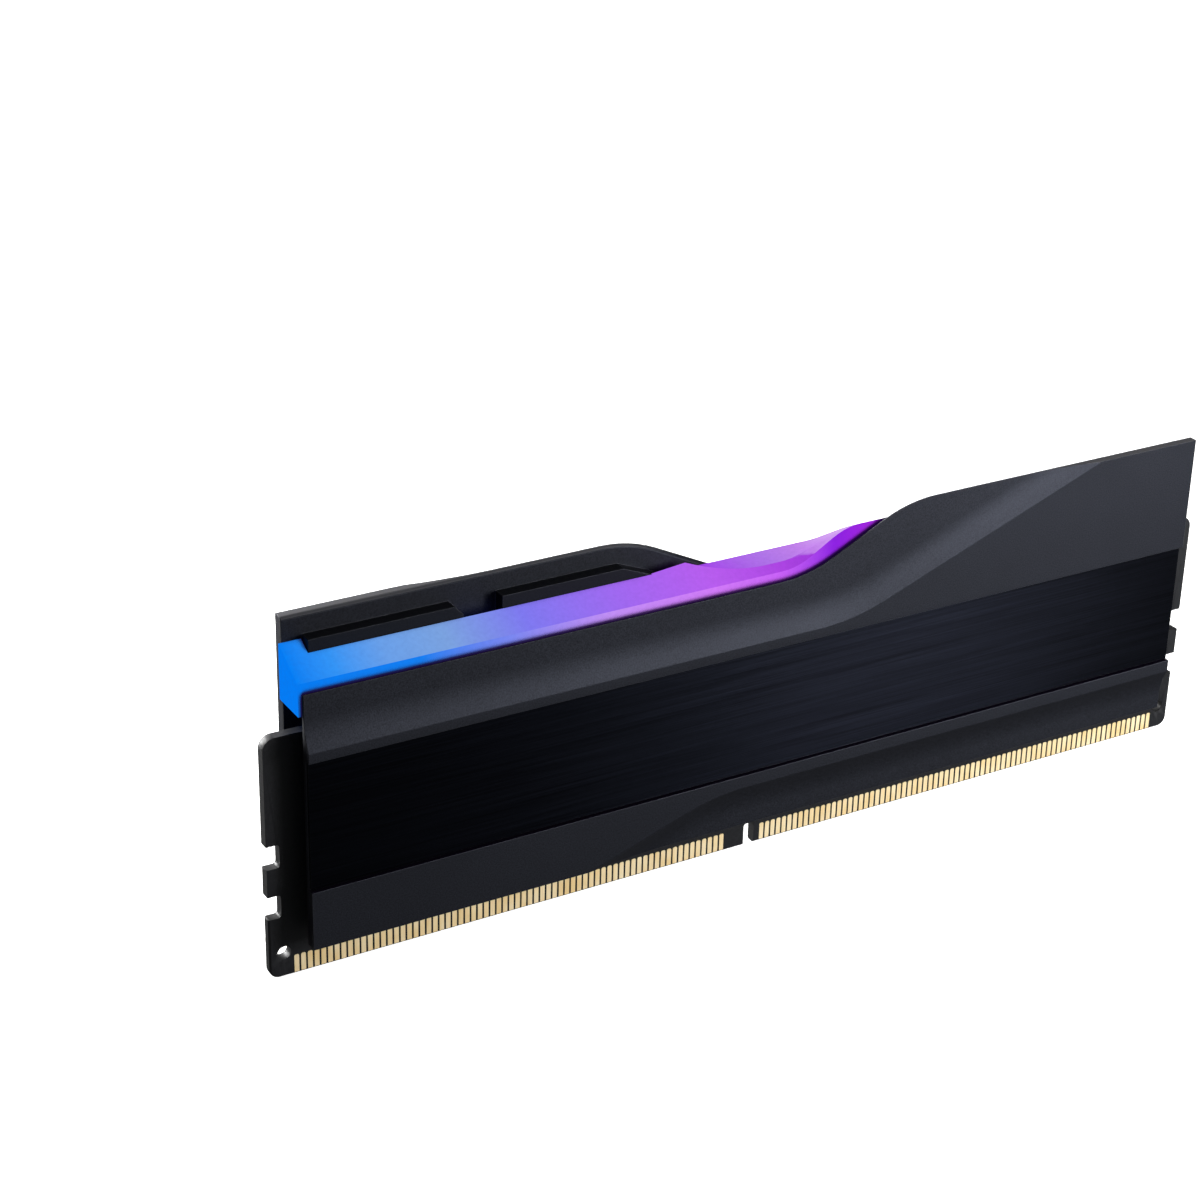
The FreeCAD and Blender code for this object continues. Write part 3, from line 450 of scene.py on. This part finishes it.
def resistor_ceramic():
    """Glazed black ceramic."""
    dark = grey(0.025)
    light = grey(0.055)
    return small_part("resistor_ceramic", dark, light, roughness=(0.25, 0.40), cell=0.10, depth=0.002)


def light_package():
    """The white glossy plastic of a colour light."""
    dark = grey(0.70)
    light = grey(0.88)
    return small_part("light_package", dark, light, roughness=(0.22, 0.34), cell=0.20, depth=0.002)


def thermal_pad():
    """Soft blue-grey filled silicone."""
    dark = (0.33, 0.38, 0.43, 1.0)
    light = (0.48, 0.53, 0.57, 1.0)
    return small_part("thermal_pad", dark, light, roughness=(0.78, 0.92), cell=0.25, depth=0.020)


# ---------------------------------------------------------------- dressing the nodes

MATERIALS = {
    "spreader_metal": spreader_metal,
    "brushed_metal": brushed_metal,
    "diffuser": diffuser,
    "board_mask": board_mask,
    "contact_gold": contact_gold,
    "chip_epoxy": chip_epoxy,
    "inductor_ferrite": inductor_ferrite,
    "capacitor_ceramic": capacitor_ceramic,
    "resistor_ceramic": resistor_ceramic,
    "light_package": light_package,
    "thermal_pad": thermal_pad,
}


def dress_nodes():
    """Gives every CAD node the detailed material of the slot that it was packed with."""
    made = {slot: build() for slot, build in MATERIALS.items()}
    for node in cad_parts.values():
        for place in node.material_slots:
            place.material = made[place.material.name]


# ---------------------------------------------------------------- rounded edges

# Each rounded node's edge radius, in millimetres.
EDGE_ROUNDING = {
    "heat_spreader_front": 0.10,
    "heat_spreader_back": 0.10,
    "light_bar": 0.12,
    "brushed_strip_front": 0.04,
    "brushed_strip_back": 0.04,
    "circuit_board": 0.05,
}
# Points that are closer than this, in millimetres, are one point.
SAME_POINT = 0.001
# Edges that turn by more than this, in degrees, are rounded.
SHARP_ANGLE = 18.0
ROUNDING_STEPS = 2
EVEN_WEIGHT = 50


def round_edges(name, radius):
    """Rounds a CAD node's sharp edges by that radius in millimetres, leaving its own mesh alone."""
    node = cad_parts[name]
    weld = node.modifiers.new("weld", "WELD")
    weld.merge_threshold = SAME_POINT * MM
    bevel = node.modifiers.new("round", "BEVEL")
    bevel.width = radius * MM
    bevel.segments = ROUNDING_STEPS
    bevel.limit_method = "ANGLE"
    bevel.angle_limit = math.radians(SHARP_ANGLE)
    bevel.use_clamp_overlap = True
    # The long faces of a cove keep their own slope: the narrow rounded strips must not tilt it.
    smooth = node.modifiers.new("even", "WEIGHTED_NORMAL")
    smooth.mode = "FACE_AREA"
    smooth.weight = EVEN_WEIGHT


# ---------------------------------------------------------------- stage, lights, camera

# The board stands on its contact edge, so the floor is the plane z = 0.
FLOOR_SPAN = 6.0
BACKDROP_HEIGHT = 3.0
FLOOR_GREY = 0.92
FLOOR_GLOW = 0.80
FLOOR_ROUGHNESS = 0.9

# One light hangs overhead. The front is lit from its right by a far and a near one, and the back
# by two at the same places turned half a turn, and by a fill. Powers are in watts.
OVERHEAD_PLACE = (0.03, 0.03, 1.20)
OVERHEAD_SIZE = (0.60, 0.50)
OVERHEAD_POWER = 1.5
KEY_PLACE = (0.185, -0.28, 0.09)
KEY_SIZE = (0.10, 0.18)
KEY_POWER = 0.72
NEAR_KEY_PLACE = (0.12, -0.15, 0.07)
NEAR_KEY_SIZE = (0.06, 0.10)
NEAR_KEY_POWER = 0.38
BACK_KEY_POWER = 0.95
BACK_NEAR_KEY_POWER = 0.45
BACK_FILL_PLACE = (-0.10, 0.60, 0.30)
BACK_FILL_SIZE = (0.60, 0.50)
BACK_FILL_POWER = 2.4
WORLD_STRENGTH = 0.15

# The camera was fitted so that the module lines up with the photograph. Its lens and sensor are in
# millimetres, and its turn is in degrees.
FOCAL_LENGTH = 81.84
SENSOR_WIDTH = 36.0
CAMERA_PLACE = (-0.16942, -0.24540, 0.17539)
CAMERA_TURN = (64.390, -1.259, -30.121)
NEAREST_SEEN = 0.01


def make_floor():
    """A plain pale floor with a plain backdrop on every side."""
    half = FLOOR_SPAN / 2
    ring = [(-half, -half), (half, -half), (half, half), (-half, half)]
    sides = len(ring)
    corners = [(x, y, z) for z in (0.0, BACKDROP_HEIGHT) for x, y in ring]
    walls = [(i, (i + 1) % sides, (i + 1) % sides + sides, i + sides) for i in range(sides)]
    mesh = bpy.data.meshes.new("floor")
    mesh.from_pydata(corners, [], [tuple(range(sides)), *walls])
    floor = bpy.data.objects.new("floor", mesh)
    bpy.context.scene.collection.objects.link(floor)
    material, _, shader = new_material("floor")
    shader.inputs["Base Color"].default_value = grey(FLOOR_GREY)
    shader.inputs["Roughness"].default_value = FLOOR_ROUGHNESS
    shader.inputs["Specular IOR Level"].default_value = 0.0
    shader.inputs["Emission Color"].default_value = WHITE
    shader.inputs["Emission Strength"].default_value = FLOOR_GLOW
    mesh.materials.append(material)
    floor.visible_glossy = False
    floor.visible_diffuse = False


def softbox(name, place, size, power):
    """A rectangular light at that place, aimed at the module's middle."""
    light = bpy.data.lights.new(name, "AREA")
    light.shape = "RECTANGLE"
    light.size, light.size_y = size
    light.energy = power
    lamp = bpy.data.objects.new(name, light)
    lamp.location = place
    lamp.visible_camera = False
    middle = (CAD_BOX[0] + CAD_BOX[1]) / 2
    lamp.rotation_euler = (middle - Vector(place)).to_track_quat("-Z", "Y").to_euler()
    bpy.context.scene.collection.objects.link(lamp)


def half_turn(place):
    """That place, half a turn round the module."""
    x, y, z = place
    return (-x, -y, z)


def make_lights():
    """One light overhead, two for the front and three for the back."""
    softbox("overhead", OVERHEAD_PLACE, OVERHEAD_SIZE, OVERHEAD_POWER)
    softbox("key", KEY_PLACE, KEY_SIZE, KEY_POWER)
    softbox("near_key", NEAR_KEY_PLACE, NEAR_KEY_SIZE, NEAR_KEY_POWER)
    softbox("back_key", half_turn(KEY_PLACE), KEY_SIZE, BACK_KEY_POWER)
    softbox("back_near_key", half_turn(NEAR_KEY_PLACE), NEAR_KEY_SIZE, BACK_NEAR_KEY_POWER)
    softbox("back_fill", BACK_FILL_PLACE, BACK_FILL_SIZE, BACK_FILL_POWER)


def make_world():
    """A faint even white light from all round."""
    world = bpy.data.worlds.new("studio")
    world.use_nodes = True
    background = world.node_tree.nodes["Background"]
    background.inputs["Color"].default_value = WHITE
    background.inputs["Strength"].default_value = WORLD_STRENGTH
    bpy.context.scene.world = world


def make_camera():
    """The scene's camera, where it was fitted."""
    data = bpy.data.cameras.new("camera")
    data.lens = FOCAL_LENGTH
    data.sensor_width = SENSOR_WIDTH
    data.clip_start = NEAREST_SEEN
    camera = bpy.data.objects.new("camera", data)
    camera.location = CAMERA_PLACE
    camera.rotation_euler = [math.radians(angle) for angle in CAMERA_TURN]
    bpy.context.scene.collection.objects.link(camera)
    bpy.context.scene.camera = camera


bpy.context.scene.view_settings.view_transform = "Standard"
make_camera()
make_floor()
make_lights()
make_world()
dress_nodes()
for node_name, radius in EDGE_ROUNDING.items():
    round_edges(node_name, radius)
